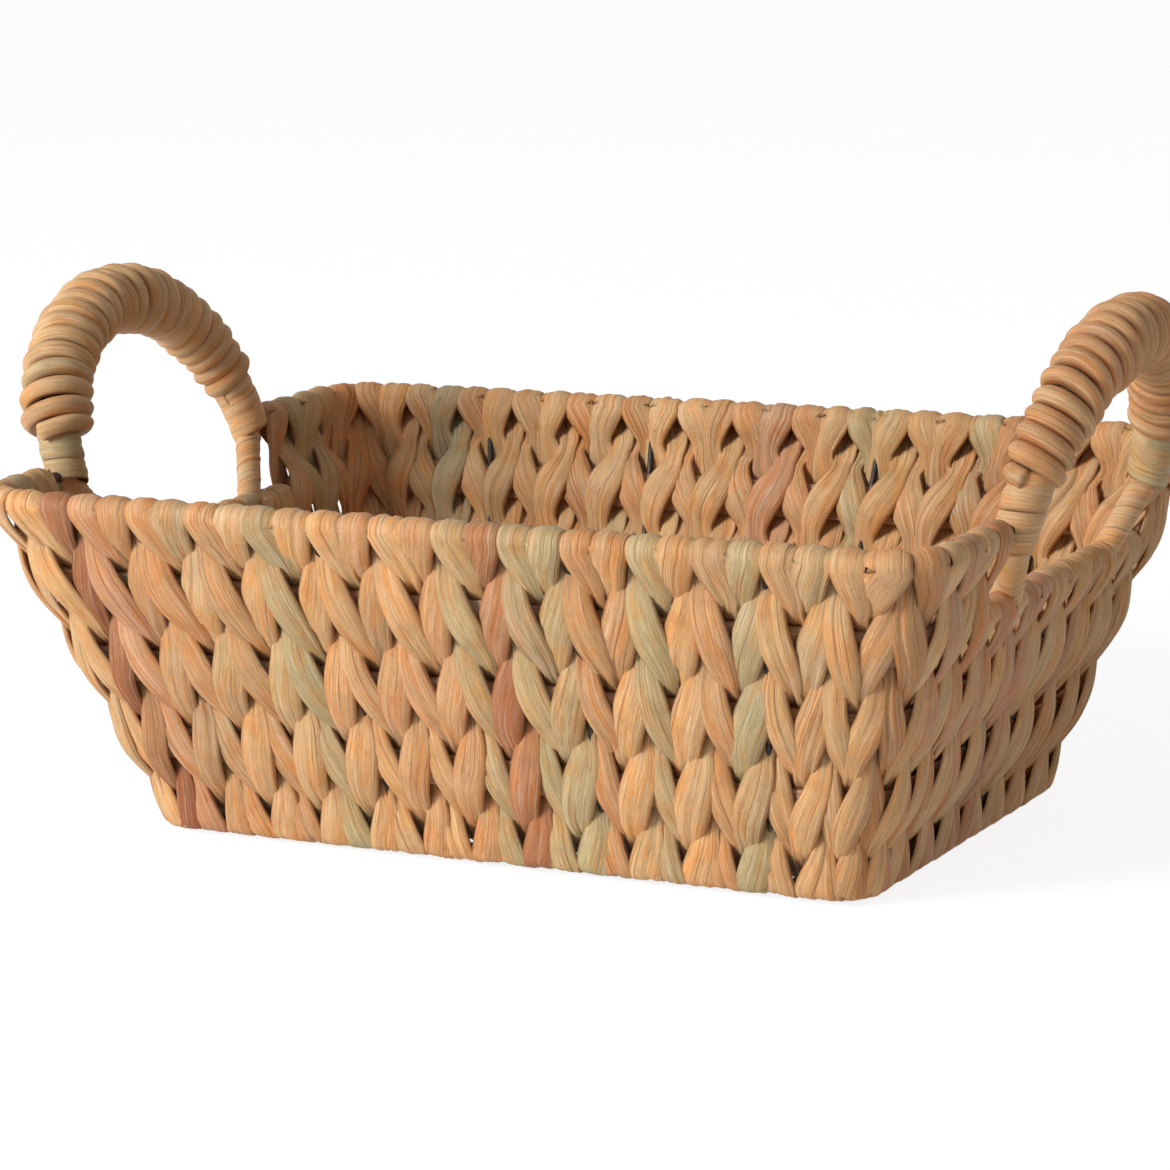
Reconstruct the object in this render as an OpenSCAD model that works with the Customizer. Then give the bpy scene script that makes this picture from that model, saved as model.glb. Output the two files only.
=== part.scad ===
// Oblong bread basket woven from flattened water hyacinth leaf over a wire frame.
// Millimetres, +Z up, origin on the table under the middle of the base.
// +X runs along the length, towards the right handle. -Y is the front.

/* [Body] */
// Outside length of the rim
rim_length = 370; // [355:1:400]
// Outside width of the rim
rim_width = 258; // [245:1:280]
// Outside length of the base
base_length = 276; // [255:1:300]
// Outside width of the base
base_width = 171; // [155:1:190]
// Height of the long rims above the table
body_height = 127; // [118:1:145]
// Outside corner radius of the rim
rim_corner = 26; // [22:1:36]
// Outside corner radius of the base
base_corner = 18; // [16:1:26]

/* [Weave] */
// Pairs of strands round the basket
column_count = 49; // [44:1:54]
// Thickness of a strand at its crown
strand_t = 3; // [2.4:0.1:3.4]
// Slit between neighbouring strands where they pass a course, in column widths
strand_slit = 0.02; // [0.01:0.01:0.04]
// Height of the flat band round each course wire
band_h = 13; // [10:0.5:15]
// Thickness of that band over the wire
band_t = 4.4; // [4:0.1:5]
// Play between a band and the strands over it
weave_play = 0.25; // [0.1:0.05:0.4]
// Share of the column width that is left at the base of the flat walls
gather = 0.84; // [0.8:0.01:0.88]
// Sideways shift of the pattern along the front, in column widths
pattern_shift = 0.2; // [0:0.05:0.45]

/* [Base] */
// Thickness of the woven base mat
mat_t = 10; // [8:0.5:10.5]
// Play round the edge of the base mat
mat_play = 0.3; // [0.2:0.1:1]
// Number of cross wires in the base
cross_wire_count = 5; // [3:1:7]

/* [Wires] */
// Rim wire diameter
rim_wire_d = 4; // [3.4:0.1:4.4]
// Course wire diameter
course_wire_d = 2.8; // [2.2:0.1:3]
// Base ring wire diameter
base_wire_d = 3.4; // [3:0.1:4]
// Upright and cross wire diameter
rib_wire_d = 2.2; // [1.8:0.1:2.4]
// Handle wire diameter
handle_wire_d = 4; // [3.4:0.1:4.6]
// Play between a wire and what is wound over it
wire_play = 0.1; // [0.05:0.05:0.15]

/* [Handles] */
// Distance between the feet of a handle, wire centre to wire centre
handle_span = 118; // [104:1:122]
// Rise of the handle wire above the rim wire, along the lean
handle_rise = 56.5; // [48:0.5:58]
// Outward lean of the right handle from upright, in degrees
right_handle_lean = 15.4; // [8:0.1:20]
// Outward lean of the left handle from upright, in degrees
left_handle_lean = 18.6; // [8:0.1:20]
// Offset of the right handle from the middle, towards the back
right_handle_offset = 11; // [-6:1:14]
// Offset of the left handle from the middle, towards the back
left_handle_offset = -8; // [-14:1:6]
// Diameter of the padding on the handle wire
padding_d = 11; // [9:0.5:12]
// Outside diameter of the coil at the top of the handle
coil_top_d = 25; // [22:0.5:28]
// Outside diameter of the coil at the feet
coil_foot_d = 20; // [18:0.5:21]
// Turns of the coil
coil_turns = 24; // [20:1:26]
// Height of the coil's start above the rim wire
coil_start = 12; // [11:0.5:14]
// Width of the dip between the handle posts, at its bottom
dip_width = 84; // [76:1:90]
// Diameter of the binding round each foot
binding_d = 14; // [12:0.5:16]
// Diameter of the leaf wrapped round a handle post
post_wrap_d = 8; // [7:0.5:9]

/* [Hidden] */
$fn = 48;
COURSES = 4;                                  // rows between the rim wire and the base wire
N = column_count;
LEAF = "#d2ab78";
LEAF_DARK = "#b98f5e";
REED = "#e2b991";
STEEL = "#6f6a64";

strand_off = band_t / 2 + weave_play + strand_t / 2;   // strand centre from the wall's middle
half_wall = strand_off + strand_t / 2;                 // wall's middle to its face
rim_z = body_height - half_wall;
base_z = half_wall;
flare_x = atan((rim_length - base_length) / 2 / body_height);
flare_y = atan((rim_width - base_width) / 2 / body_height);
flare = (flare_x + flare_y) / 2;
function mix(a, b, t) = a + (b - a) * t;
function even(v) = round(v * 100) / 100;      // keeps the joints of a ring's pieces exact
function level_z(t) = even(mix(rim_z, base_z, t));
function share_up(t) = level_z(t) / body_height;
function half_len(t) = even(mix(base_length, rim_length, share_up(t)) / 2 - half_wall / cos(flare_x));
function half_wid(t) = even(mix(base_width, rim_width, share_up(t)) / 2 - half_wall / cos(flare_y));
function corner_r(t) = even(mix(base_corner, rim_corner, share_up(t)) - half_wall / cos(flare));

// Lengths along a quarter of the wall's middle line at level t: flat, corner arc, flat
function flat_len(t) = half_len(t) - corner_r(t);
function flat_wid(t) = half_wid(t) - corner_r(t);
function arc_len(t) = corner_r(t) * PI / 2;
function quarter(t) = flat_len(t) + arc_len(t) + flat_wid(t);

// Where a line that starts at run a of the rim's quarter ends on the base's quarter
front_break = min(flat_len(1) / gather, flat_len(0));
side_break = quarter(0) - min(flat_wid(1) / gather, flat_wid(0));
front_end = front_break * gather;
side_end = quarter(1) - (quarter(0) - side_break) * gather;
function base_run(a) =
    a <= front_break ? a * gather
    : a >= side_break ? quarter(1) - (quarter(0) - a) * gather
    : mix(front_end, side_end, (a - front_break) / (side_break - front_break));

// Point and outward direction on the quarter from the front's middle to the right side's middle
function quarter_place(t, run) =
    let (over = run - flat_len(t), angle = over / corner_r(t) * 180 / PI)
    over <= 0 ? [[run, -half_wid(t)], [0, -1]]
    : over < arc_len(t)
        ? [[flat_len(t) + corner_r(t) * sin(angle), -flat_wid(t) - corner_r(t) * cos(angle)],
           [sin(angle), -cos(angle)]]
    : [[half_len(t), over - arc_len(t) - flat_wid(t)], [1, 0]];

// Place of column line c at level t, anywhere round the basket
function place(c, t) =
    let (turn = (c + pattern_shift) / N * 4,
         wrapped = turn - 4 * floor(turn / 4),
         side = floor(wrapped),
         part = wrapped - side,
         share = side % 2 == 0 ? part : 1 - part,
         run = mix(share * quarter(0), base_run(share * quarter(0)), t),
         spot = quarter_place(t, run),
         sx = side < 2 ? 1 : -1,
         sy = side == 0 || side == 3 ? 1 : -1)
    [[spot[0][0] * sx, spot[0][1] * sy], [spot[1][0] * sx, spot[1][1] * sy]];

// Slope of the wall out of upright where it faces direction d
function slope(d) = flare_x * d[0] * d[0] + flare_y * d[1] * d[1];

// Point off the wall's middle: off millimetres out, or round a wire by the angle bend
function wall_point(c, t, off, bend = 0) =
    let (p = place(c, t), d = p[1], s = slope(d))
    [p[0][0] + d[0] * cos(s) * cos(bend) * off,
     p[0][1] + d[1] * cos(s) * cos(bend) * off,
     level_z(t) + (sin(bend) - sin(s) * cos(bend)) * off];

/* ---- strands ---- */

FULL = 0.25 - strand_slit / 2;                // half width of a strand over a course, in columns
GOES_IN = [0.125, 0.115];                     // sidestep and half width where it turns inwards
COMES_OUT = [0.1, 0.09];                      // the same where it turns outwards, past an upright
inner_lift = rib_wire_d / 2 / (rim_z - base_z);        // keeps inner ends above the cross wires

// One diamond section; facing is 1 or -1 for the strand's two halves
function section(c, half, t, off, facing, bend = 0) = [
    wall_point(c - half, t, off, bend),
    wall_point(c, t, off + facing * strand_t / 2, bend),
    wall_point(c + half, t, off, bend),
    wall_point(c, t, off - facing * strand_t / 2, bend)
];

// Half a strand from its fold over course start down to the base; facing 1 starts outside
function half_strand(c, lean, start, facing) = [
    for (step = [0 : 2 * (COURSES - start)])
        let (row = start + step / 2,
             out = facing * (floor(step / 2) % 2 == 0 ? 1 : -1),
             at_course = step % 2 == 0,
             lift = row == COURSES && out < 0 ? inner_lift : 0)
        at_course
            ? section(c, FULL, row / COURSES - lift, out * strand_off, facing)
            : let (pass = out > 0 ? GOES_IN : COMES_OUT)
              section(c + lean * out * pass[0], pass[1], row / COURSES, 0, facing)
];

function reversed(list) = [for (i = [len(list) - 1 : -1 : 0]) list[i]];

// Skin over a row of sections with four points each
module skin(sections) {
    last = len(sections) - 1;
    sides = len(sections[0]);
    polyhedron(
        points = [for (s = sections) each s],
        faces = concat(
            [[for (k = [0 : sides - 1]) k]],
            [for (i = [0 : last - 1], k = [0 : sides - 1])
                let (a = i * sides + k, b = i * sides + (k + 1) % sides)
                each [[a, b + sides, b], [a, a + sides, b + sides]]],
            [[for (k = [sides - 1 : -1 : 0]) last * sides + k]]));
}

// Strand j of the wall: folded over its top wire, with one half out and one half in
module strand(j) {
    pair = floor(j / 2);
    lean = j % 2 == 0 ? 1 : -1;
    c = pair + 0.5 - lean * 0.25;
    start = starts_low(c) ? 1 : 0;
    outer = half_strand(c, lean, start, 1);
    inner = half_strand(c, lean, start, -1);
    outer_last = (COURSES - start) % 2 == 0;
    tuck_out = outer_last ? [section(c, FULL, 1, strand_off, 1, -90)] : [];
    tuck_in = outer_last ? [] : [section(c, FULL, 1, strand_off, 1, -90)];
    fold = [section(c, FULL, start / COURSES, strand_off, 1, 90)];
    skin(concat(tuck_out, reversed(outer), fold, inner, flipped(tuck_in)));
}

// The same section seen from the strand's other half
function flipped(sections) = [for (s = sections) [s[0], s[3], s[2], s[1]]];

function side_of(c) =
    let (p = place(c, 0)[1], front = -p[1], right = p[0], flat = cos(20))
    front > flat ? "front" : front < -flat ? "back" : right > flat ? "right" : right < -flat ? "left"
    : front > 0 ? (right > 0 ? "front_right" : "front_left") : right > 0 ? "back_right" : "back_left";

// Strands between the feet of a handle fold over the upper course wire, not the rim
strand_w = 4 * quarter(0) / N / 2;
low_reach = (handle_span + post_wrap_d + strand_w) / 2;
function starts_low(c) =
    let (p = place(c, 0), y = p[0][1])
    abs(p[1][0]) > 0.99 && abs(y - (p[1][0] > 0 ? right_handle_offset : left_handle_offset)) < low_reach;

module strands(where) {
    color(LEAF)
    for (j = [0 : 2 * N - 1])
        if (side_of(floor(j / 2) + 0.5 - (j % 2 == 0 ? 0.25 : -0.25)) == where)
            strand(j);
}

/* ---- wires and bands ---- */

// Sweeps a section, drawn as distance out and height, round the wall's middle line at level t
module around(t) {
    lx = flat_len(t);
    ly = flat_wid(t);
    r = corner_r(t);
    translate([0, 0, level_z(t)]) {
        for (sx = [0, 1], sy = [0, 1])
            mirror([sx, 0, 0])
                mirror([0, sy, 0])
                    translate([lx, ly, 0])
                        rotate_extrude(angle = 90)
                            translate([r, 0])
                                children();
        for (sx = [0, 1])
            mirror([sx, 0, 0])
                translate([half_len(t), ly, 0])
                    rotate([90, 0, 0])
                        linear_extrude(2 * ly)
                            children();
        for (sy = [0, 1])
            rotate([0, 0, 90 + 180 * sy])
                translate([half_wid(t), lx, 0])
                    rotate([90, 0, 0])
                        linear_extrude(2 * lx)
                            children();
    }
}

module ring_wire(row, d) {
    color(STEEL)
        around(row / COURSES)
            circle(d = d);
}

function band_outline() = [[0, -band_h / 2], [band_t / 2, 0], [0, band_h / 2], [-band_t / 2, 0]];

// Flat band of reed round a course wire, with a slot where each upright passes
module band(row) {
    color(REED)
        difference() {
            around(row / COURSES)
                rotate(-flare)
                    difference() {
                        polygon(band_outline());
                        circle(d = course_wire_d + 2 * wire_play);
                    }
            for (c = upright_columns())
                upright(c, 0, COURSES, rib_wire_d + 2 * wire_play);
            if (row == 1)
                for (right = [false, true])
                    lower_rim_room(right);
        }
}

// The upper band stops where the strands fold over the upper course wire
module lower_rim_room(right) {
    translate([(right ? 1 : -1) * half_len(1 / COURSES), handle_offset(right), level_z(1 / COURSES)])
        cube([2 * band_h, 2 * low_reach + strand_w, 2 * band_h], center = true);
}

// Rod between two points
module rod(a, b, d) {
    v = b - a;
    length = norm(v);
    translate(a)
        rotate([0, acos(v[2] / length), atan2(v[1], v[0])])
            cylinder(d = d, h = length);
}

// Rim wire, open between the feet of each handle
module rim_wire(back) {
    side = back ? 1 : -1;
    lx = flat_len(0);
    ly = flat_wid(0);
    r = corner_r(0);
    color(STEEL)
        translate([0, 0, rim_z])
            mirror([0, back ? 0 : 1, 0]) {
                for (sx = [0, 1])
                    mirror([sx, 0, 0]) {
                        translate([lx, ly, 0])
                            rotate_extrude(angle = 90)
                                translate([r, 0])
                                    circle(d = rim_wire_d);
                        foot = handle_span / 2 + side * handle_offset(sx == 0);
                        end = foot + handle_wire_d / 2 + 2 * wire_play;
                        translate([half_len(0), ly, 0])
                            rotate([90, 0, 0])
                                cylinder(d = rim_wire_d, h = ly - end);
                    }
                translate([-lx, half_wid(0), 0])
                    rotate([0, 90, 0])
                        cylinder(d = rim_wire_d, h = 2 * lx);
            }
}

function handle_offset(right) = right ? right_handle_offset : left_handle_offset;

// Upright wires stand on column lines, where they pass between the strand pairs
UPRIGHT_SPOTS = [-118, -48, 48, 118];         // along the long walls
UPRIGHT_SPOTS_END = [-30, 30];                // along the short walls
column_w = 4 * quarter(0) / N;
function column_at(run) = round(run / column_w - pattern_shift);
function upright_columns() = concat(
    [for (x = UPRIGHT_SPOTS) column_at(x)],
    [for (y = UPRIGHT_SPOTS_END) column_at(quarter(0) + y)],
    [for (x = UPRIGHT_SPOTS) column_at(2 * quarter(0) + x)],
    [for (y = UPRIGHT_SPOTS_END) column_at(3 * quarter(0) + y)]);

module upright(c, top, bottom, d) {
    rod(wall_point(c, top / COURSES, 0), wall_point(c, bottom / COURSES, 0), d);
}

// Uprights are cut between the ring wires that they are welded to
module upright_wires() {
    color(STEEL)
        for (c = upright_columns(), row = [starts_low(c) ? 1 : 0 : COURSES - 1])
            let (a = wall_point(c, row / COURSES, 0),
                 b = wall_point(c, (row + 1) / COURSES, 0),
                 along = (b - a) / norm(b - a),
                 top_d = row == 0 ? rim_wire_d : course_wire_d,
                 bottom_d = row == COURSES - 1 ? base_wire_d : course_wire_d)
            rod(a + along * (top_d / 2 + wire_play), b - along * (bottom_d / 2 + wire_play), rib_wire_d);
}

cross_pitch = 2 * flat_len(1) / (cross_wire_count + 1);
module cross_wires(d) {
    reach = half_wid(1) - base_wire_d / 2 - wire_play;
    for (i = [1 : cross_wire_count])
        translate([-flat_len(1) + i * cross_pitch, reach, base_z])
            rotate([90, 0, 0])
                cylinder(d = d, h = 2 * reach);
}

module base_cross_wires() {
    color(STEEL)
        cross_wires(rib_wire_d);
}

// Woven mat that fills the base inside the tucked ends of the strands
mat_inset = half_wall + mat_play;
module base_mat() {
    color(LEAF)
        difference() {
            linear_extrude(mat_t)
                rounded(2 * (half_len(1) - mat_inset), 2 * (half_wid(1) - mat_inset), corner_r(1) - mat_inset);
            cross_wires(rib_wire_d + 2 * wire_play);
        }
}

module rounded(length, width, r) {
    union() {
        square([length - 2 * r, width], center = true);
        square([length, width - 2 * r], center = true);
        for (sx = [-1, 1], sy = [-1, 1])
            translate([sx * (length / 2 - r), sy * (width / 2 - r)])
                circle(r = r);
    }
}

/* ---- handles ---- */

arch_r = (pow(handle_span / 2, 2) + pow(handle_rise, 2)) / (2 * handle_rise);
arch_drop = arch_r - handle_rise;             // arch centre below the rim wire
foot_angle = asin(arch_drop / arch_r);        // angle of the foot above the arch centre
coil_angle = foot_angle + coil_start / arch_r * 180 / PI;
coil_pitch = arch_r * (180 - 2 * coil_angle) * PI / 180 / coil_turns;
COIL_STEPS = 8;                               // sections in one turn
coil_in_r = (padding_d / 2 + wire_play) / cos(180 / COIL_STEPS);   // clear at the middle of a step
COIL_PLAY = 0.15;                             // play at each edge of the coiled strand
COIL_BULGE = 2.2;                             // height of the crown over the strand's edges

// Puts children that are drawn in the arch's plane, X along the span and Y up, on a handle
module at_handle(right) {
    mirror([right ? 0 : 1, 0, 0])
        translate([half_len(0), handle_offset(right), rim_z])
            rotate([0, right ? right_handle_lean : left_handle_lean, 0])
                translate([0, 0, -arch_drop])
                    rotate([90, 0, 90])
                        children();
}

module arch(from) {
    rotate([0, 0, from])
        rotate_extrude(angle = 180 - 2 * from)
            translate([arch_r, 0])
                children();
}

lower_rim_top = level_z(1 / COURSES) + half_wall;
function foot_point(right, side) =
    [(right ? 1 : -1) * half_len(0), handle_offset(right) + side * handle_span / 2, rim_z];
function post_point(right, side) =
    let (drop = (rim_z - lower_rim_top - handle_wire_d / 2) / (rim_z - level_z(1 / COURSES)))
    [(right ? 1 : -1) * mix(half_len(0), half_len(1 / COURSES), drop),
     handle_offset(right) + side * mix(handle_span, dip_width, drop) / 2,
     mix(rim_z, level_z(1 / COURSES), drop)];

// Arch and the two posts that run down to the lower rim, with a bead at each bend
module handle_wire(right) {
    color(STEEL)
        union() {
            at_handle(right)
                arch(foot_angle)
                    circle(d = handle_wire_d);
            for (side = [-1, 1]) {
                rod(foot_point(right, side), post_point(right, side), handle_wire_d);
                translate(foot_point(right, side))
                    sphere(d = handle_wire_d + 2 * wire_play);
            }
        }
}

module handle_padding(right) {
    color(LEAF_DARK)
        at_handle(right)
            arch(coil_angle)
                difference() {
                    circle(d = padding_d);
                    circle(d = handle_wire_d + 2 * wire_play);
                }
}

// Section of the coiled strand at turn number n
function coil_section(n) =
    let (share = n / coil_turns,
         around_tube = 360 * n,
         out_r = mix(coil_foot_d, coil_top_d, sin(180 * share)) / 2,
         edge_r = out_r - COIL_BULGE,
         phi = mix(coil_angle, 180 - coil_angle, share))
    [for (q = [[coil_in_r, -1], [edge_r, -1], [out_r, 0], [edge_r, 1], [coil_in_r, 1]])
        let (reach = arch_r + q[0] * cos(around_tube),
             half = (coil_pitch / 2 * reach / arch_r - COIL_PLAY) * q[1])
        [reach * cos(phi) - half * sin(phi), reach * sin(phi) + half * cos(phi), q[0] * sin(around_tube)]];

module handle_coil(right) {
    color(LEAF)
        at_handle(right)
            skin([for (i = [0.5 * COIL_STEPS : coil_turns * COIL_STEPS - 0.5 * COIL_STEPS])
                coil_section(i / COIL_STEPS)]);
}

// Collar of leaf bound round a foot, between the strands on the rim and the coil
binding_from = foot_angle + (half_wall + wire_play) / arch_r * 180 / PI;
binding_to = coil_angle - wire_play / arch_r * 180 / PI;
module foot_binding(right, side) {
    color(LEAF_DARK)
        at_handle(right)
            rotate([0, 0, side > 0 ? binding_from : 180 - binding_to])
                rotate_extrude(angle = binding_to - binding_from)
                    translate([arch_r, 0])
                        difference() {
                            circle(d = binding_d);
                            circle(d = handle_wire_d + 2 * wire_play);
                        }
}

// Thin leaf wound round the posts, from under the rim wire to the lower rim
module post_wraps(right) {
    color(LEAF_DARK)
        for (side = [-1, 1])
            let (a = foot_point(right, side),
                 b = post_point(right, side),
                 along = (b - a) / norm(b - a))
            difference() {
                rod(a + along * (rim_wire_d / 2 + post_wrap_d / 2), b, post_wrap_d);
                rod(a, b + along, handle_wire_d + 2 * wire_play);
            }
}

rim_wire(false);  // rim_wire_front
rim_wire(true);  // rim_wire_back
ring_wire(1, course_wire_d);  // course_wire_upper
ring_wire(2, course_wire_d);  // course_wire_middle
ring_wire(3, course_wire_d);  // course_wire_lower
ring_wire(COURSES, base_wire_d);  // base_ring_wire
base_cross_wires();
upright_wires();
band(1);  // course_band_upper
band(2);  // course_band_middle
band(3);  // course_band_lower
strands("front");  // strands_front
strands("back");  // strands_back
strands("left");  // strands_left
strands("right");  // strands_right
strands("front_left");  // strands_front_left
strands("front_right");  // strands_front_right
strands("back_left");  // strands_back_left
strands("back_right");  // strands_back_right
base_mat();
handle_wire(false);  // handle_wire_left
handle_wire(true);  // handle_wire_right
handle_padding(false);  // handle_padding_left
handle_padding(true);  // handle_padding_right
handle_coil(false);  // handle_coil_left
handle_coil(true);  // handle_coil_right
foot_binding(false, -1);  // foot_binding_front_left
foot_binding(false, 1);  // foot_binding_back_left
foot_binding(true, -1);  // foot_binding_front_right
foot_binding(true, 1);  // foot_binding_back_right
post_wraps(false);  // post_wraps_left
post_wraps(true);  // post_wraps_right
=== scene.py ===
# Oblong bread basket: flat water hyacinth leaf twined over a wire frame, with a coiled handle at each end.
# Metres, +Z up, the origin on the table under the middle of the base.
# -Y is the front, +X points towards the right handle.
import math

import bpy
import numpy as np
from mathutils import Matrix, Vector


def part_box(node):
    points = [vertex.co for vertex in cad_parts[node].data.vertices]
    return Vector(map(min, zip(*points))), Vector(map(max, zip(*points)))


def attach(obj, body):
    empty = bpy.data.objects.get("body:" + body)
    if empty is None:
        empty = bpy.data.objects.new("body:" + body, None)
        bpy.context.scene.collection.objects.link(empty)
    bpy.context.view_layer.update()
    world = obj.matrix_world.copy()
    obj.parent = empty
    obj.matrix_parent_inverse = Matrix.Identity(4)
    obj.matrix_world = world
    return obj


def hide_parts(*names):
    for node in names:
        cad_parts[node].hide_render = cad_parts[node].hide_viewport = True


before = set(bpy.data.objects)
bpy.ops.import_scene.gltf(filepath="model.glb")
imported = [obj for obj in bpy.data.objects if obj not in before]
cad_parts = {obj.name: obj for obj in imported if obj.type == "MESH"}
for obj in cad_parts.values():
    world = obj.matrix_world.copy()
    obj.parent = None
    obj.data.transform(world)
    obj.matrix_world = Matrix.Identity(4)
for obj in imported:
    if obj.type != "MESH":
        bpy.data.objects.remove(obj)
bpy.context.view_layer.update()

# ---------------------------------------------------------------- sizes from the frame

rim_low, rim_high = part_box("rim_wire_front")
ring_low, ring_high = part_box("base_ring_wire")
RIM_WIRE_R = (rim_high.z - rim_low.z) / 2
RING_WIRE_R = (ring_high.z - ring_low.z) / 2
RIM_Z = (rim_high.z + rim_low.z) / 2
BASE_Z = (ring_high.z + ring_low.z) / 2
# Pairs are at the rim wire and at the base wire
HALF_LENGTH = (rim_high.x - RIM_WIRE_R, ring_high.x - RING_WIRE_R)
HALF_WIDTH = (-rim_low.y - RIM_WIRE_R, ring_high.y - RING_WIRE_R)
CORNER_R = (0.0199, 0.0126)

COLUMNS = 49                 # strand pairs round the basket
COURSES = 4                  # rows from the rim wire to the base wire
PATTERN_SHIFT = 0.2          # of the pattern along the front, in columns
GATHER = 0.84                # column width at the base over that at the rim

# A side is 1 for the right handle and -1 for the left one
HANDLE_SPAN = 0.118          # between a handle's feet
HANDLE_RISE = 0.0565         # of the handle wire above the rim wire, along the lean
HANDLE_LEAN = {1: math.radians(15.4), -1: math.radians(18.6)}
HANDLE_OFFSET = {1: 0.011, -1: -0.008}        # from the middle, towards the back
DIP_WIDTH = 0.084            # between the posts, at the lower rim
COIL_START = 0.012           # of the coil above the rim wire

# ---------------------------------------------------------------- the wall's middle surface

FLAT_LENGTH = tuple(HALF_LENGTH[i] - CORNER_R[i] for i in (0, 1))
FLAT_WIDTH = tuple(HALF_WIDTH[i] - CORNER_R[i] for i in (0, 1))
QUARTER = tuple(FLAT_LENGTH[i] + CORNER_R[i] * math.pi / 2 + FLAT_WIDTH[i] for i in (0, 1))
FLARE_X = math.atan((HALF_LENGTH[0] - HALF_LENGTH[1]) / (RIM_Z - BASE_Z))
FLARE_Y = math.atan((HALF_WIDTH[0] - HALF_WIDTH[1]) / (RIM_Z - BASE_Z))
FRONT_BREAK = min(FLAT_LENGTH[1] / GATHER, FLAT_LENGTH[0])
SIDE_BREAK = QUARTER[0] - min(FLAT_WIDTH[1] / GATHER, FLAT_WIDTH[0])
COLUMN_W = 4 * QUARTER[0] / COLUMNS


def mix(a, b, t):
    return a + (b - a) * t


def wall(column, row):
    """Points of the wall's middle surface, with its outward normals and its upward directions."""
    column, row = np.broadcast_arrays(np.asarray(column, float), np.asarray(row, float))
    t = row / COURSES
    turn = np.mod((column + PATTERN_SHIFT) / COLUMNS * 4, 4)
    side = np.floor(turn)
    part = turn - side
    share = np.where(side % 2 == 0, part, 1 - part)
    at_rim = share * QUARTER[0]
    at_base = np.interp(
        at_rim,
        [0, FRONT_BREAK, SIDE_BREAK, QUARTER[0]],
        [0, FRONT_BREAK * GATHER, QUARTER[1] - (QUARTER[0] - SIDE_BREAK) * GATHER, QUARTER[1]],
    )
    run = mix(at_rim, at_base, t)
    corner = mix(CORNER_R[0], CORNER_R[1], t)
    flat_x = mix(HALF_LENGTH[0], HALF_LENGTH[1], t) - corner
    flat_y = mix(HALF_WIDTH[0], HALF_WIDTH[1], t) - corner
    over = run - flat_x
    angle = np.clip(over / corner, 0, math.pi / 2)
    x = np.minimum(run, flat_x) + corner * np.sin(angle)
    y = -flat_y - corner * np.cos(angle) + np.maximum(over - corner * math.pi / 2, 0)
    sx = np.where(side < 2, 1, -1)
    sy = np.where((side == 0) | (side == 3), 1, -1)
    dx, dy = np.sin(angle) * sx, -np.cos(angle) * sy
    slope = FLARE_X * dx * dx + FLARE_Y * dy * dy
    point = np.stack([x * sx, y * sy, mix(RIM_Z, BASE_Z, t)], -1)
    normal = np.stack([dx * np.cos(slope), dy * np.cos(slope), -np.sin(slope)], -1)
    up = np.stack([dx * np.sin(slope), dy * np.sin(slope), np.cos(slope)], -1)
    return point, normal, up


def column_width(column, row):
    a = wall(column - 0.25, row)[0]
    b = wall(column + 0.25, row)[0]
    return 2 * np.linalg.norm(b - a, axis=-1)


# ---------------------------------------------------------------- leaf ribbons

ACROSS = 13                  # points over one face of a leaf
DRY_WARMTH = (1.02, 0.94, 0.84)
PALETTE = {                  # share of the leaves, colour as it looks in daylight
    "wheat": (0.30, (218, 178, 128)),
    "straw": (0.20, (224, 189, 142)),
    "tan": (0.16, (206, 161, 114)),
    "sage": (0.11, (190, 178, 138)),
    "grey": (0.04, (178, 170, 140)),
    "pink": (0.09, (206, 157, 122)),
    "orange": (0.08, (206, 150, 96)),
    "rust": (0.02, (168, 108, 70)),
}


def linear(rgb):
    """Linear colour of a daylight one."""
    c = np.asarray(rgb, float) / 255
    return np.where(c <= 0.04045, c / 12.92, ((c + 0.055) / 1.055) ** 2.4)


def pick_tint(rng):
    shares = np.array([share for share, _ in PALETTE.values()])
    colours = [rgb for _, rgb in PALETTE.values()]
    chosen = colours[rng.choice(len(colours), p=shares / shares.sum())]
    return linear(chosen) * DRY_WARMTH * rng.uniform(0.9, 1.1)


def smooth_noise(rng, count, knots, size):
    """Slow random wander along a leaf, from -size to size."""
    values = rng.uniform(-size, size, knots + 3)
    at = np.linspace(0, knots, count)
    i = np.floor(at).astype(int)
    f = at - i
    f = f * f * (3 - 2 * f)
    return mix(values[i], values[i + 1], f)


def unit(v):
    return v / np.linalg.norm(v, axis=-1, keepdims=True)


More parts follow.
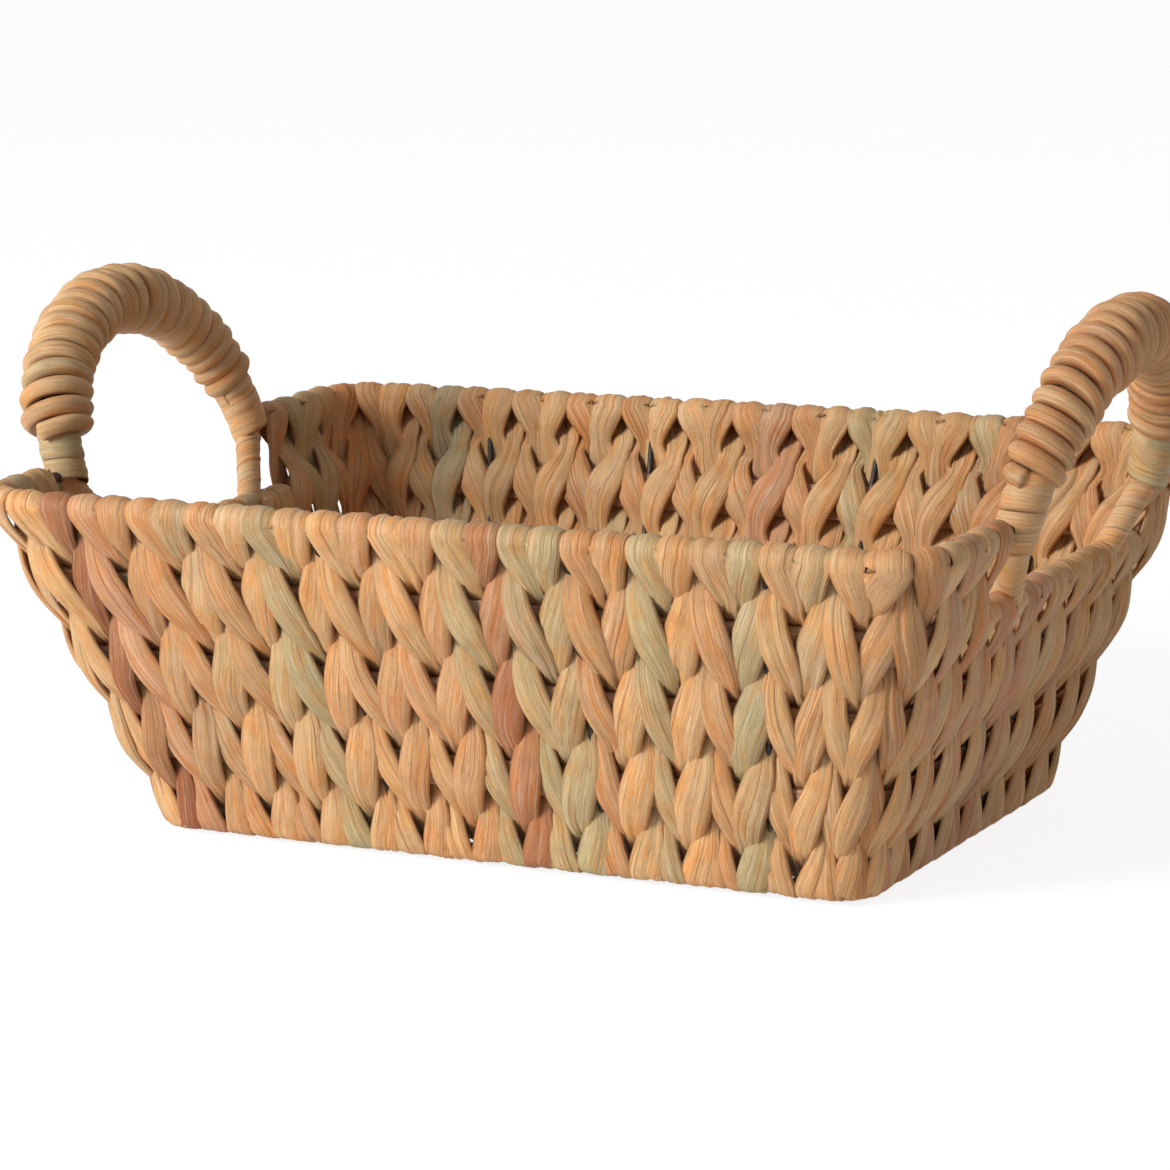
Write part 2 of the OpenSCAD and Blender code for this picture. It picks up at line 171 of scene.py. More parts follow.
class LeafPile:
    """Ribbons of leaf that become one mesh."""

    def __init__(self):
        self.points, self.faces, self.uvs, self.tints, self.count = [], [], [], [], 0

    def ribbon(self, path, normal, half_width, half_thick, rng, tint=None, roll=0.0, folds=4, fold_depth=0.3,
               blunt=2.4, tint_knots=3, cup=0.0):
        """Sweeps a creased lens section along path.

        normal is the way its face looks, and cup is how far its edges bend back.
        """
        n = len(path)
        along = unit(np.gradient(path, axis=0))
        side = unit(np.cross(along, normal))
        out = np.cross(side, along)
        turn = np.broadcast_to(np.asarray(roll, float), (n,))[:, None]
        side, out = side * np.cos(turn) + out * np.sin(turn), out * np.cos(turn) - side * np.sin(turn)
        half_width = np.broadcast_to(half_width, (n,)) * (1 + smooth_noise(rng, n, max(n // 12, 2), 0.07))
        half_thick = np.broadcast_to(half_thick, (n,)) * (1 + smooth_noise(rng, n, max(n // 8, 2), 0.12))
        u = np.sin(np.linspace(-1, 1, ACROSS) * math.pi / 2) * 0.4 + np.linspace(-1, 1, ACROSS) * 0.6
        lens = np.maximum(1 - np.abs(u) ** blunt, 0) ** 0.7
        rows = []
        for face in (1, -1):
            height = np.tile(lens, (n, 1))
            for _ in range(folds):
                place = rng.uniform(-0.8, 0.8) + smooth_noise(rng, n, 3, 0.12)
                depth = fold_depth * rng.uniform(0.4, 1.3) * (1 + smooth_noise(rng, n, 4, 0.6))
                width = rng.uniform(0.07, 0.15)
                height -= depth[:, None] * lens * np.exp(-(((u - place[:, None]) / width) ** 2))
            tilt = smooth_noise(rng, n, 4, 0.25)[:, None] * u * lens
            height = (height + tilt) * half_thick[:, None] * face
            height += np.broadcast_to(cup, (n,))[:, None] * (0.3 - u ** 2)
            rows.append(path[:, None] + side[:, None] * (half_width[:, None] * u)[..., None]
                        + out[:, None] * height[..., None])
        ring = np.concatenate([rows[0], rows[1][:, -2:0:-1]], 1)
        around = ring.shape[1]
        length = np.concatenate([[0], np.cumsum(np.linalg.norm(np.diff(path, axis=0), axis=1))])
        across = np.concatenate([u, u[-2:0:-1]]) / 2 + 0.5
        uv = np.stack(np.broadcast_arrays(across[None], (length + rng.uniform(0, 50))[:, None]), -1)
        first = pick_tint(rng) if tint is None else np.asarray(tint)
        others = [mix(first, pick_tint(rng), rng.uniform(0, 0.55)) for _ in range(tint_knots)]
        knots = np.array([first] + others)
        at = np.linspace(0, len(knots) - 1, n)
        colour = np.stack([np.interp(at, np.arange(len(knots)), knots[:, i]) for i in range(3)], -1)
        i, k = np.meshgrid(np.arange(n - 1), np.arange(around), indexing="ij")
        k_next = (k + 1) % around
        near, far = i * around, (i + 1) * around
        quads = np.stack([near + k, near + k_next, far + k_next, far + k], -1)
        self.faces += [tuple(f) for f in (quads.reshape(-1, 4) + self.count).tolist()]
        self.faces.append(tuple(range(self.count + around - 1, self.count - 1, -1)))
        last = self.count + (n - 1) * around
        self.faces.append(tuple(range(last, last + around)))
        self.points.append(ring.reshape(-1, 3))
        self.uvs.append(uv.reshape(-1, 2))
        self.tints.append(np.repeat(colour, around, 0))
        self.count += n * around

    def make(self, name, material, slot, *nodes):
        mesh = bpy.data.meshes.new(name)
        points = np.concatenate(self.points)
        mesh.from_pydata(points.tolist(), [], self.faces)
        mesh.polygons.foreach_set("use_smooth", np.ones(len(mesh.polygons), bool))
        corner_vertex = np.empty(len(mesh.loops), int)
        mesh.loops.foreach_get("vertex_index", corner_vertex)
        uv_layer = mesh.uv_layers.new(name="leaf")
        uv_layer.data.foreach_set("uv", np.concatenate(self.uvs)[corner_vertex].astype(np.float32).ravel())
        tint = mesh.color_attributes.new("tint", "FLOAT_COLOR", "POINT")
        colours = np.concatenate([np.concatenate(self.tints), np.ones((self.count, 1))], 1)
        tint.data.foreach_set("color", colours.astype(np.float32).ravel())
        mesh.update()
        mesh.materials.append(material)
        piece = bpy.data.objects.new(name, mesh)
        bpy.context.scene.collection.objects.link(piece)
        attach(piece, "root")
        if nodes:
            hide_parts(*nodes)
        return piece


# ---------------------------------------------------------------- materials

def math_node(tree, operation, a, b):
    node = tree.nodes.new("ShaderNodeMath")
    node.operation = operation
    for socket, value in zip(node.inputs, (a, b)):
        if isinstance(value, (int, float)):
            socket.default_value = value
        else:
            tree.links.new(value, socket)
    return node.outputs[0]


def blend_node(tree, mode, factor, a, b):
    node = tree.nodes.new("ShaderNodeMix")
    node.data_type = "RGBA"
    node.blend_type = mode
    for socket, value in zip((node.inputs[0], node.inputs[6], node.inputs[7]), (factor, a, b)):
        if isinstance(value, (int, float, tuple)):
            socket.default_value = value
        else:
            tree.links.new(value, socket)
    return node.outputs[2]


def range_node(tree, value, low, high):
    """1 where value is under low, 0 where it is over high."""
    node = tree.nodes.new("ShaderNodeMapRange")
    node.interpolation_type = "SMOOTHSTEP"
    tree.links.new(value, node.inputs["Value"])
    node.inputs["From Min"].default_value = low
    node.inputs["From Max"].default_value = high
    node.inputs["To Min"].default_value = 1
    node.inputs["To Max"].default_value = 0
    return node.outputs["Result"]


def stretched_noise(tree, vector, scale, detail, roughness):
    mapping = tree.nodes.new("ShaderNodeMapping")
    mapping.inputs["Scale"].default_value = scale
    tree.links.new(vector, mapping.inputs["Vector"])
    noise = tree.nodes.new("ShaderNodeTexNoise")
    noise.inputs["Scale"].default_value = 1
    noise.inputs["Detail"].default_value = detail
    noise.inputs["Roughness"].default_value = roughness
    tree.links.new(mapping.outputs["Vector"], noise.inputs["Vector"])
    return noise.outputs["Fac"]


def make_group(name, inputs, outputs):
    group = bpy.data.node_groups.new(name, "ShaderNodeTree")
    for label, kind, value in inputs:
        socket = group.interface.new_socket(label, in_out="INPUT", socket_type=kind)
        socket.default_value = value
    for label, kind in outputs:
        group.interface.new_socket(label, in_out="OUTPUT", socket_type=kind)
    return group, group.nodes.new("NodeGroupInput"), group.nodes.new("NodeGroupOutput")


def leaf_fibre_group():
    """Fibres, dark streaks and dry blotches along a leaf's own length, and painted shade along its edges
    where neighbouring leaves meet.
    """
    group, given, result = make_group(
        "leaf_fibre",
        [("Tint", "NodeSocketColor", (0.6, 0.4, 0.2, 1)),
         ("Streak Depth", "NodeSocketFloat", 0.6),
         ("Painted Edge Shade", "NodeSocketFloat", 0.4)],
        [("Color", "NodeSocketColor"), ("Roughness", "NodeSocketFloat"), ("Height", "NodeSocketFloat")],
    )
    uv = group.nodes.new("ShaderNodeUVMap")
    uv.uv_map = "leaf"
    place = group.nodes.new("ShaderNodeTexCoord").outputs["Object"]
    fine = stretched_noise(group, uv.outputs["UV"], (34, 55, 1), 3, 0.6)
    broad = stretched_noise(group, uv.outputs["UV"], (11, 24, 1), 2, 0.5)
    veins = stretched_noise(group, uv.outputs["UV"], (17, 16, 1), 1, 0.4)
    blotch = stretched_noise(group, uv.outputs["UV"], (2.2, 60, 1), 3, 0.6)
    specks = stretched_noise(group, place, (420, 420, 420), 2, 0.6)
    streak = range_node(group, veins, 0.28, 0.42)
    off_line = math_node(group, "ABSOLUTE", math_node(group, "SUBTRACT", fine, 0.5), 0)
    line = range_node(group, off_line, 0.004, 0.03)
    shade = math_node(group, "ADD", 0.62, math_node(group, "MULTIPLY", fine, 0.76))
    grey = group.nodes.new("ShaderNodeCombineColor")
    for socket in grey.inputs:
        group.links.new(shade, socket)
    colour = blend_node(group, "MULTIPLY", 1.0, given.outputs["Tint"], grey.outputs["Color"])
    warm = blend_node(group, "MULTIPLY", 1.0, colour, (1.06, 0.84, 0.62, 1))
    colour = blend_node(group, "MIX", range_node(group, blotch, 0.34, 0.58), colour, warm)
    pale = blend_node(group, "SCREEN", 0.16, colour, (1.0, 0.93, 0.78, 1))
    colour = blend_node(group, "MIX", range_node(group, broad, 0.30, 0.52), colour, pale)
    dark = blend_node(group, "MULTIPLY", 1.0, colour, (0.42, 0.26, 0.17, 1))
    streaked = math_node(group, "MULTIPLY", streak, given.outputs["Streak Depth"])
    colour = blend_node(group, "MIX", streaked, colour, dark)
    colour = blend_node(group, "MIX", math_node(group, "MULTIPLY", line, 0.34), colour, dark)
    speck = math_node(group, "MULTIPLY", range_node(group, specks, 0.26, 0.34), 0.25)
    colour = blend_node(group, "MIX", speck, colour, dark)
    # Painted shade: towards its long edges the leaf is mixed towards the dark colour, standing in for the
    # shade where it tucks under its neighbours. The same dark colour also gives the real streaks, fibre
    # lines and specks.
    split = group.nodes.new("ShaderNodeSeparateXYZ")
    group.links.new(uv.outputs["UV"], split.inputs["Vector"])
    off_middle = math_node(group, "ABSOLUTE", math_node(group, "SUBTRACT", split.outputs["X"], 0.5), 0)
    inner = range_node(group, off_middle, 0.36, 0.5)
    rim = math_node(group, "MULTIPLY", math_node(group, "SUBTRACT", 1.0, inner), given.outputs["Painted Edge Shade"])
    colour = blend_node(group, "MIX", rim, colour, dark)
    height = math_node(group, "ADD", fine, math_node(group, "MULTIPLY", broad, 0.7))
    height = math_node(group, "SUBTRACT", height, math_node(group, "MULTIPLY", streak, 0.5))
    height = math_node(group, "SUBTRACT", height, math_node(group, "MULTIPLY", line, 0.6))
    rough = math_node(group, "ADD", 0.46, math_node(group, "MULTIPLY", fine, 0.28))
    group.links.new(colour, result.inputs["Color"])
    group.links.new(rough, result.inputs["Roughness"])
    group.links.new(height, result.inputs["Height"])
    return group


def new_material(name):
    material = bpy.data.materials.new(name)
    material.use_nodes = True
    shader = material.node_tree.nodes["Principled BSDF"]
    return material, material.node_tree, shader


def leaf_material(name, group, streak=0.6, edge_painted_shade=0.4, bump=0.55, coat=0.08):
    material, tree, shader = new_material(name)
    tint = tree.nodes.new("ShaderNodeAttribute")
    tint.attribute_name = "tint"
    fibre = tree.nodes.new("ShaderNodeGroup")
    fibre.node_tree = group
    fibre.inputs["Streak Depth"].default_value = streak
    fibre.inputs["Painted Edge Shade"].default_value = edge_painted_shade
    tree.links.new(tint.outputs["Color"], fibre.inputs["Tint"])
    relief = tree.nodes.new("ShaderNodeBump")
    relief.inputs["Strength"].default_value = bump
    relief.inputs["Distance"].default_value = 0.0005
    tree.links.new(fibre.outputs["Height"], relief.inputs["Height"])
    tree.links.new(fibre.outputs["Color"], shader.inputs["Base Color"])
    tree.links.new(fibre.outputs["Roughness"], shader.inputs["Roughness"])
    tree.links.new(relief.outputs["Normal"], shader.inputs["Normal"])
    shader.inputs["Specular IOR Level"].default_value = 0.4
    shader.inputs["Coat Weight"].default_value = coat
    shader.inputs["Coat Roughness"].default_value = 0.5
    return material


def padding_painted_shade_material():
    """Bundled leaf seen in the grooves between the turns of a coil, coloured dark brown as painted shade for
    those grooves.
    """
    material, tree, shader = new_material("padding_leaf")
    place = tree.nodes.new("ShaderNodeTexCoord").outputs["Object"]
    noise = stretched_noise(tree, place, (240, 240, 240), 3, 0.6)
    colour = blend_node(tree, "MIX", noise, (0.07, 0.035, 0.015, 1), (0.20, 0.11, 0.05, 1))
    tree.links.new(colour, shader.inputs["Base Color"])
    shader.inputs["Roughness"].default_value = 0.8
    return material


def wire_material():
    material, tree, shader = new_material("lacquered_wire")
    place = tree.nodes.new("ShaderNodeTexCoord").outputs["Object"]
    wear = stretched_noise(tree, place, (300, 300, 300), 3, 0.6)
    worn = range_node(tree, wear, 0.32, 0.5)
    colour = blend_node(tree, "MIX", worn, (0.035, 0.028, 0.022, 1), (0.10, 0.055, 0.03, 1))
    rough = math_node(tree, "ADD", 0.3, math_node(tree, "MULTIPLY", wear, 0.4))
    tree.links.new(colour, shader.inputs["Base Color"])
    tree.links.new(rough, shader.inputs["Roughness"])
    shader.inputs["Metallic"].default_value = 0.6
    return material


fibre_group = leaf_fibre_group()
# The edge value sets how far each leaf's edges are darkened as painted shade; the handle leaf gets the most,
# for the grooves between the coil's turns.
LEAF = leaf_material("hyacinth_leaf", fibre_group)
HANDLE_LEAF = leaf_material("handle_leaf", fibre_group, streak=0.45, edge_painted_shade=0.75, coat=0.15)
WRAP_LEAF = leaf_material("wrapped_leaf", fibre_group, streak=0.35, edge_painted_shade=0.6, bump=0.4, coat=0.12)
REED = leaf_material("pale_reed", fibre_group, streak=0.25, edge_painted_shade=0.5, bump=0.8)
WIRE = wire_material()
PADDING_PAINTED_SHADE = padding_painted_shade_material()

# ---------------------------------------------------------------- twined strands

DEPTH = 0.0042               # leaf's middle off the wall's middle, over a course
SWING = 0.165                # sideways swing of a strand, in columns
FULL_W = 0.298               # half width over a course, in columns
CROSS_W = 0.160              # half width where it passes through the wall, in columns
THICK = 0.00095              # half thickness over a course
CROSS_THICK = 0.00135        # half thickness where it is gathered
CUP = 0.0012                 # bend of a leaf's edges towards the wall, over a course
LEAST_HALF = 0.0052          # least half width over a course, at the corners
OUT_BIAS = 0.10              # rows that each outer pass gains over an inner one
LAYER = 0.0007               # lift of one lean over the other
ROW_STEPS = 14               # sections from one row to the next
FOLD_STEPS = 9               # sections over the top wire
TUCK_STEPS = 7               # sections under the base wire


def twine(rows, lean, facing):
    """Sidestep, depth and shape of half a strand at the given rows below its fold."""
    whole = np.floor(rows)
    side = facing * np.where(whole % 2 == 0, 1, -1)
    late = rows - whole > 0.5 + OUT_BIAS * side
    course = whole + late
    side = np.where(late, -side, side)
    angle = (rows - course) / (1 + 2 * OUT_BIAS * side) * math.pi
    over = np.cos(angle)
    return lean * side * SWING * np.sin(angle), side * DEPTH * over ** 1.1, np.clip(over, 0, 1)


def strand_line(j):
    """Lean and column line of strand j; neighbouring strands lean opposite ways."""
    lean = 1 if j % 2 == 0 else -1
    return lean, j // 2 + 0.5 - lean * 0.25


def strand(pile, column, lean, start, seed, surface=wall, width_of=column_width, courses=COURSES, tuck=True):
    """A leaf folded over its top wire, both halves twisting round each other down to the last wire."""
    rng = np.random.default_rng(seed)
    drift = smooth_noise(rng, 200, 9, 0.035)
    own_width = rng.uniform(0.92, 1.08)
    halves = []
    for facing in (1, -1):
        steps = (courses - start) * ROW_STEPS
        below = np.linspace(0, courses - start, steps + 1)
        sidestep, depth, over = twine(below, lean, facing)
        rows = below + start
        wander = np.interp(rows, np.linspace(start, courses, 200), drift * facing)
        where = column + sidestep + wander * (1 - over * 0.3)
        depth = depth + lean * LAYER * np.sin(math.pi * rows / 2)
        point, normal, up = surface(where, rows)
        half = width_of(where, rows) * mix(CROSS_W, FULL_W, over ** 0.6) * own_width
        half = np.maximum(half, LEAST_HALF * (0.4 + 0.6 * over))
        thick = mix(CROSS_THICK, THICK, over)
        cup = CUP * over * np.sign(depth) * facing
        halves.append([point + normal * depth[:, None], normal, half, thick, cup])
        if facing * (1 if (courses - start) % 2 == 0 else -1) > 0 and tuck:
            bend = np.radians(np.linspace(-15, -120, TUCK_STEPS))[:, None]
            p, n, u = point[-1], normal[-1], up[-1]
            way = n * np.cos(bend) + u * np.sin(bend)
            reach = DEPTH * np.linspace(1, 0.72, TUCK_STEPS)[:, None]
            halves[-1] = [np.concatenate([halves[-1][0], p + way * reach]), np.concatenate([normal, way]),
                          np.concatenate([half, np.full(TUCK_STEPS, half[-1])]),
                          np.concatenate([thick, np.full(TUCK_STEPS, THICK * 0.8)]),
                          np.concatenate([cup, np.zeros(TUCK_STEPS)])]
    point, normal, up = surface(np.full(1, column), np.full(1, float(start)))
    bend = np.radians(np.linspace(15, 165, FOLD_STEPS))[:, None]
    way = normal * np.cos(bend) + up * np.sin(bend)
    fold = [point + way * DEPTH, way, np.full(FOLD_STEPS, halves[0][2][0]), np.full(FOLD_STEPS, THICK)]
    outer, inner = halves
    path = np.concatenate([outer[0][::-1], fold[0], inner[0]])
    facing_way = np.concatenate([outer[1][::-1], fold[1], -inner[1]])
    half = np.concatenate([outer[2][::-1], fold[2], inner[2]])
    thick = np.concatenate([outer[3][::-1], fold[3], inner[3]])
    cup = np.concatenate([outer[4][::-1], np.full(FOLD_STEPS, CUP), inner[4]])
    pile.ribbon(path, facing_way, half, thick, rng, roll=smooth_noise(rng, len(path), 8, 0.10), folds=5,
                fold_depth=0.42, blunt=3.6, tint_knots=7, cup=cup)


POST_D = 0.008
LOW_REACH = (HANDLE_SPAN + POST_D + COLUMN_W / 2) / 2
CORNER_FACING = math.cos(math.radians(20))    # a wall that turns further than this is a corner


def starts_low(column):
    """Between the feet of a handle the strands fold over the upper course wire."""
    point, normal, _ = wall(column, 0)
    side = 1 if point[0] > 0 else -1
    return abs(normal[0]) > 0.93 and abs(point[1] - HANDLE_OFFSET[side]) < LOW_REACH


def side_of(column):
    _, normal, _ = wall(column, 0)
    flat = unit(normal[:2])
    if abs(flat[1]) > CORNER_FACING:
        return "front" if flat[1] < 0 else "back"
    if abs(flat[0]) > CORNER_FACING:
        return "right" if flat[0] > 0 else "left"
    return ("front" if flat[1] < 0 else "back") + ("_right" if flat[0] > 0 else "_left")


def make_walls():
    piles = {}
    for j in range(2 * COLUMNS):
        lean, column = strand_line(j)
        pile = piles.setdefault(side_of(column), LeafPile())
        strand(pile, column, lean, 1 if starts_low(column) else 0, seed=1000 + j)
    for side, pile in piles.items():
        pile.make("leaf_strands_" + side, LEAF, "leaf_strand", "strands_" + side)


# ---------------------------------------------------------------- reed bands

BAND_HALF_H = 0.0065         # half height of a band
BAND_HALF_T = 0.0019         # half thickness of a band
REED_TINT = linear((236, 200, 164))


def make_band(name, row, ranges):
    pile = LeafPile()
    for i, (first, last) in enumerate(ranges):
        count = int((last - first) * 8)
        columns = np.linspace(first, last, count)
        point, normal, _ = wall(columns, np.full(count, float(row)))
        rng = np.random.default_rng(50 + 10 * row + i)
        pile.ribbon(point, normal, BAND_HALF_H, BAND_HALF_T, rng, tint=REED_TINT, folds=5, fold_depth=0.2,
                    tint_knots=12)
    pile.make("reed_" + name, REED, "reed_band", name)


def dip_columns(side):
    """Columns at which the upper band stops beside a dip."""
    columns = np.arange(0, COLUMNS, 0.02)
    point, normal, _ = wall(columns, np.zeros(len(columns)))
    off_middle = np.abs(point[:, 1] - HANDLE_OFFSET[side])
    near = (normal[:, 0] * side > 0.9) & (off_middle < LOW_REACH + COLUMN_W / 4)
    return columns[near].min(), columns[near].max()


def make_bands():
    right, left = dip_columns(1), dip_columns(-1)
    make_band("course_band_upper", 1, [(right[1], left[0]), (left[1], right[0] + COLUMNS)])
    for row, name in ((2, "course_band_middle"), (3, "course_band_lower")):
        make_band(name, row, [(0, COLUMNS + 0.3)])


# ---------------------------------------------------------------- base

BASE_COLUMNS = 12            # strands across the base
BASE_ROWS = 6                # gaps between the cross wires, from end to end
MAT_HALF_WIDTH = HALF_WIDTH[1] - 0.0062
MAT_LEFT = 0.0070 - HALF_LENGTH[1]            # where the strands fold
MAT_RIGHT = HALF_LENGTH[1] - 0.0040           # where they end under the wall's leaves
MAT_Z = BASE_Z + 0.0008                       # keeps the lowest leaf on the table


def base_surface(column, row):
    column, row = np.broadcast_arrays(np.asarray(column, float), np.asarray(row, float))
    x = mix(MAT_LEFT, MAT_RIGHT, row / BASE_ROWS)
    y = mix(-MAT_HALF_WIDTH, MAT_HALF_WIDTH, column / (BASE_COLUMNS / 2))
    point = np.stack([x, y, np.full(x.shape, MAT_Z)], -1)
    normal = np.broadcast_to([0.0, 0.0, 1.0], point.shape)
    up = np.broadcast_to([-1.0, 0.0, 0.0], point.shape)
    return point, normal, up


def base_width(column, _):
    return np.full(np.shape(column), 2 * MAT_HALF_WIDTH / (BASE_COLUMNS / 2))


def make_base():
    pile = LeafPile()
    for j in range(BASE_COLUMNS):
        lean, column = strand_line(j)
        strand(pile, column, lean, 0, 3000 + j, base_surface, base_width, BASE_ROWS, tuck=False)
    pile.make("woven_base", LEAF, "base_weave", "base_mat")


# ---------------------------------------------------------------- handles

ARCH_R = ((HANDLE_SPAN / 2) ** 2 + HANDLE_RISE ** 2) / (2 * HANDLE_RISE)
ARCH_DROP = ARCH_R - HANDLE_RISE
FOOT_ANGLE = math.asin(ARCH_DROP / ARCH_R)
COIL_ANGLE = FOOT_ANGLE + COIL_START / ARCH_R
COIL_TURNS = 23
TURN_STEPS = 36              # sections in one turn


def handle_axes(side):
    lean = HANDLE_LEAN[side]
    up = np.array([side * math.sin(lean), 0, math.cos(lean)])
    out = np.array([side * math.cos(lean), 0, -math.sin(lean)])
    foot_middle = np.array([side * HALF_LENGTH[0], HANDLE_OFFSET[side], RIM_Z])
    return foot_middle - up * ARCH_DROP, up, out


def on_arch(side, phi, around, radius):
    """Points at radius round the arch's wire, and their directions away from it.

    phi runs from back to front.
    """
    centre, up, out = handle_axes(side)
    radial = np.cos(phi)[:, None] * np.array([0, 1, 0]) + np.sin(phi)[:, None] * up
    way = radial * np.cos(around)[:, None] + out * np.sin(around)[:, None]
    radius = np.broadcast_to(radius, phi.shape)[:, None]
    return centre + radial * ARCH_R + way * radius, way


def make_coil(side):
    name = "right" if side > 0 else "left"
    rng = np.random.default_rng(70 + side)
    count = COIL_TURNS * TURN_STEPS
    share = np.linspace(0, 1, count)
    around = share * COIL_TURNS * 2 * math.pi
    wander = smooth_noise(rng, count, COIL_TURNS * 2, 0.0009) / ARCH_R
    phi = mix(COIL_ANGLE + 0.05, math.pi - COIL_ANGLE - 0.05, share) + wander
    pitch = ARCH_R * (math.pi - 2 * COIL_ANGLE) / COIL_TURNS
    top = np.sin(math.pi * share)
    front_leg = np.clip((share - 0.55) / 0.3, 0, 1) if side < 0 else 0
    outer = mix(0.0102, 0.0130, np.clip(top + front_leg * 0.8, 0, 1))
    outer = outer + smooth_noise(rng, count, COIL_TURNS * 3, 0.0005)
    half_thick = 0.0034
    path, way = on_arch(side, phi, around, outer - half_thick)
    pile = LeafPile()
    pile.ribbon(path, way, pitch * 0.54, half_thick, rng, folds=1, fold_depth=0.07, blunt=1.9, tint_knots=30)
    pile.make("coil_" + name, HANDLE_LEAF, "handle_leaf", "handle_coil_" + name)


def make_foot(side, end):
    """Leaf wound round the foot between the rim and the coil; end is 1 at the back, -1 at the front."""
    place = ("back" if end > 0 else "front") + ("_right" if side > 0 else "_left")
    rng = np.random.default_rng(90 + 2 * side + end)
    turns = 2.5
    count = int(turns * TURN_STEPS)
    share = np.linspace(0, 1, count)
    from_foot = mix(FOOT_ANGLE - 0.03, COIL_ANGLE + 0.05, share)
    phi = from_foot if end > 0 else math.pi - from_foot
    path, way = on_arch(side, phi, share * turns * 2 * math.pi, mix(0.0062, 0.0070, share))
    pile = LeafPile()
    pile.ribbon(path, way, 0.0068, 0.0010, rng, folds=3, fold_depth=0.4, blunt=3.6)
    pile.make("foot_wrap_" + place, WRAP_LEAF, "binding_leaf", "foot_binding_" + place)


def make_posts(side):
    name = "right" if side > 0 else "left"
    pile = LeafPile()
    for end in (1, -1):
        rng = np.random.default_rng(110 + 2 * side + end)
        top = np.array([side * HALF_LENGTH[0], HANDLE_OFFSET[side] + end * HANDLE_SPAN / 2, RIM_Z - 0.003])
        drop = 0.24
        level = mix(RIM_Z, BASE_Z, drop)
        foot = np.array([side * mix(HALF_LENGTH[0], HALF_LENGTH[1], drop),
                         HANDLE_OFFSET[side] + end * DIP_WIDTH / 2, level])
        axis = unit(foot - top)
        across = unit(np.cross(axis, [0, 1, 0]))
        other = np.cross(axis, across)
        turns = 3.5
        count = int(turns * TURN_STEPS)
        share = np.linspace(0, 1, count)
        around = (share * turns * 2 * math.pi)[:, None]
        way = across * np.cos(around) + other * np.sin(around)
        radius = mix(0.0038, 0.0034, share)[:, None]
        path = top + (foot - top) * share[:, None] + way * radius
        pile.ribbon(path, way, 0.0060, 0.0009, rng, folds=3, fold_depth=0.4, blunt=3.6)
    pile.make("post_wrap_" + name, WRAP_LEAF, "binding_leaf", "post_wraps_" + name)


def finish_cad_nodes():
    """Wires and the hidden handle padding keep their own shape; the wires get a finish and the padding its
    painted groove shade.
    """
    for word, material in (("wire", WIRE), ("padding", PADDING_PAINTED_SHADE)):
        for name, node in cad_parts.items():
            if word in name:
                node.data.materials.clear()
                node.data.materials.append(material)


# ---------------------------------------------------------------- stage

def make_camera():
    azimuth, elevation, roll = math.radians(28.438), math.radians(11.473), math.radians(-1.781)
    target = Vector((-0.006433, 0, 0.084096))
    distance = 1.4875
    back = Vector((math.sin(azimuth) * math.cos(elevation), -math.cos(azimuth) * math.cos(elevation),
                   math.sin(elevation)))
    level_right = (-back).cross(Vector((0, 0, 1))).normalized()
    level_up = level_right.cross(-back)
    right = math.cos(roll) * level_right + math.sin(roll) * level_up
    up = math.cos(roll) * level_up - math.sin(roll) * level_right
    data = bpy.data.cameras.new("camera")
    data.lens = 130.43
    data.sensor_width = 36
    data.shift_y = -0.0092
    camera = bpy.data.objects.new("camera", data)
    turn = Matrix((right, up, back)).transposed()
    camera.matrix_world = Matrix.Translation(target + back * distance) @ turn.to_4x4()
    bpy.context.scene.collection.objects.link(camera)
    bpy.context.scene.camera = camera


def lamp(name, energy, size, place, colour=(1, 1, 1)):
    data = bpy.data.lights.new(name, "AREA")
    data.energy = energy
    data.size = size
    data.color = colour
    light = bpy.data.objects.new(name, data)
    light.location = place
    aim = Vector((0, 0, 0.06)) - Vector(place)
    light.rotation_euler = aim.to_track_quat("-Z", "Y").to_euler()
    bpy.context.scene.collection.objects.link(light)


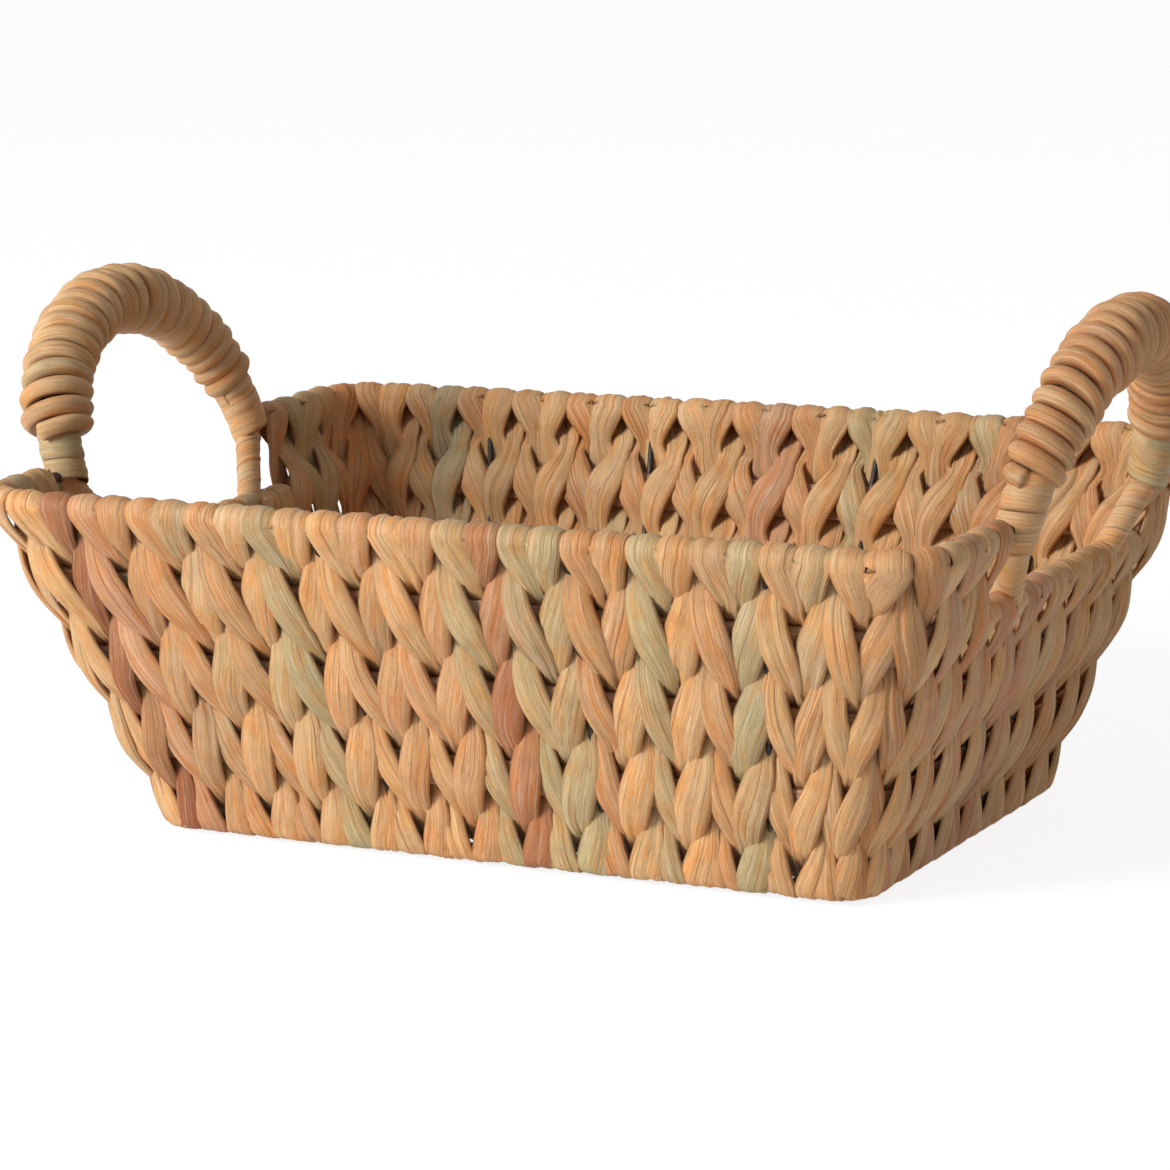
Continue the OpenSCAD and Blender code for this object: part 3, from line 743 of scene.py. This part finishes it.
def make_floor():
    bpy.ops.object.select_all(action="DESELECT")
    bpy.ops.mesh.primitive_plane_add(size=8, location=(0, 0, -0.0006))
    floor = bpy.context.object
    floor.name = "floor"
    material, tree, shader = new_material("white_floor")
    shader.inputs["Base Color"].default_value = (0.86, 0.86, 0.86, 1)
    shader.inputs["Roughness"].default_value = 0.9
    rays = tree.nodes.new("ShaderNodeLightPath")
    seen = math_node(tree, "MAXIMUM", rays.outputs["Is Camera Ray"], rays.outputs["Is Glossy Ray"])
    white = tree.nodes.new("ShaderNodeEmission")
    blend = tree.nodes.new("ShaderNodeMixShader")
    white.inputs["Strength"].default_value = 1.27
    tree.links.new(math_node(tree, "MULTIPLY", seen, 0.68), blend.inputs[0])
    tree.links.new(shader.outputs[0], blend.inputs[1])
    tree.links.new(white.outputs[0], blend.inputs[2])
    tree.links.new(blend.outputs[0], tree.nodes["Material Output"].inputs["Surface"])
    floor.data.materials.append(material)


def make_world():
    world = bpy.data.worlds.new("studio")
    bpy.context.scene.world = world
    world.use_nodes = True
    tree = world.node_tree
    soft = tree.nodes["Background"]
    soft.inputs["Color"].default_value = (1, 1, 1, 1)
    soft.inputs["Strength"].default_value = 0.25
    white = tree.nodes.new("ShaderNodeBackground")
    white.inputs["Color"].default_value = (1, 1, 1, 1)
    white.inputs["Strength"].default_value = 1
    rays = tree.nodes.new("ShaderNodeLightPath")
    mirrored = math_node(tree, "MAXIMUM", rays.outputs["Is Glossy Ray"], rays.outputs["Is Transmission Ray"])
    seen = math_node(tree, "MAXIMUM", rays.outputs["Is Camera Ray"], mirrored)
    blend = tree.nodes.new("ShaderNodeMixShader")
    tree.links.new(seen, blend.inputs[0])
    tree.links.new(soft.outputs[0], blend.inputs[1])
    tree.links.new(white.outputs[0], blend.inputs[2])
    tree.links.new(blend.outputs[0], tree.nodes["World Output"].inputs["Surface"])


make_camera()
make_world()
make_floor()
lamp("key", 80, 1.1, (-1.45, -2.2, 1.25))
lamp("fill", 1.2, 1.6, (1.8, -1.2, 0.9))

make_walls()
make_bands()
make_base()
for side in (1, -1):
    make_coil(side)
    make_posts(side)
    for end in (1, -1):
        make_foot(side, end)
finish_cad_nodes()

bpy.context.scene.view_settings.view_transform = "Standard"
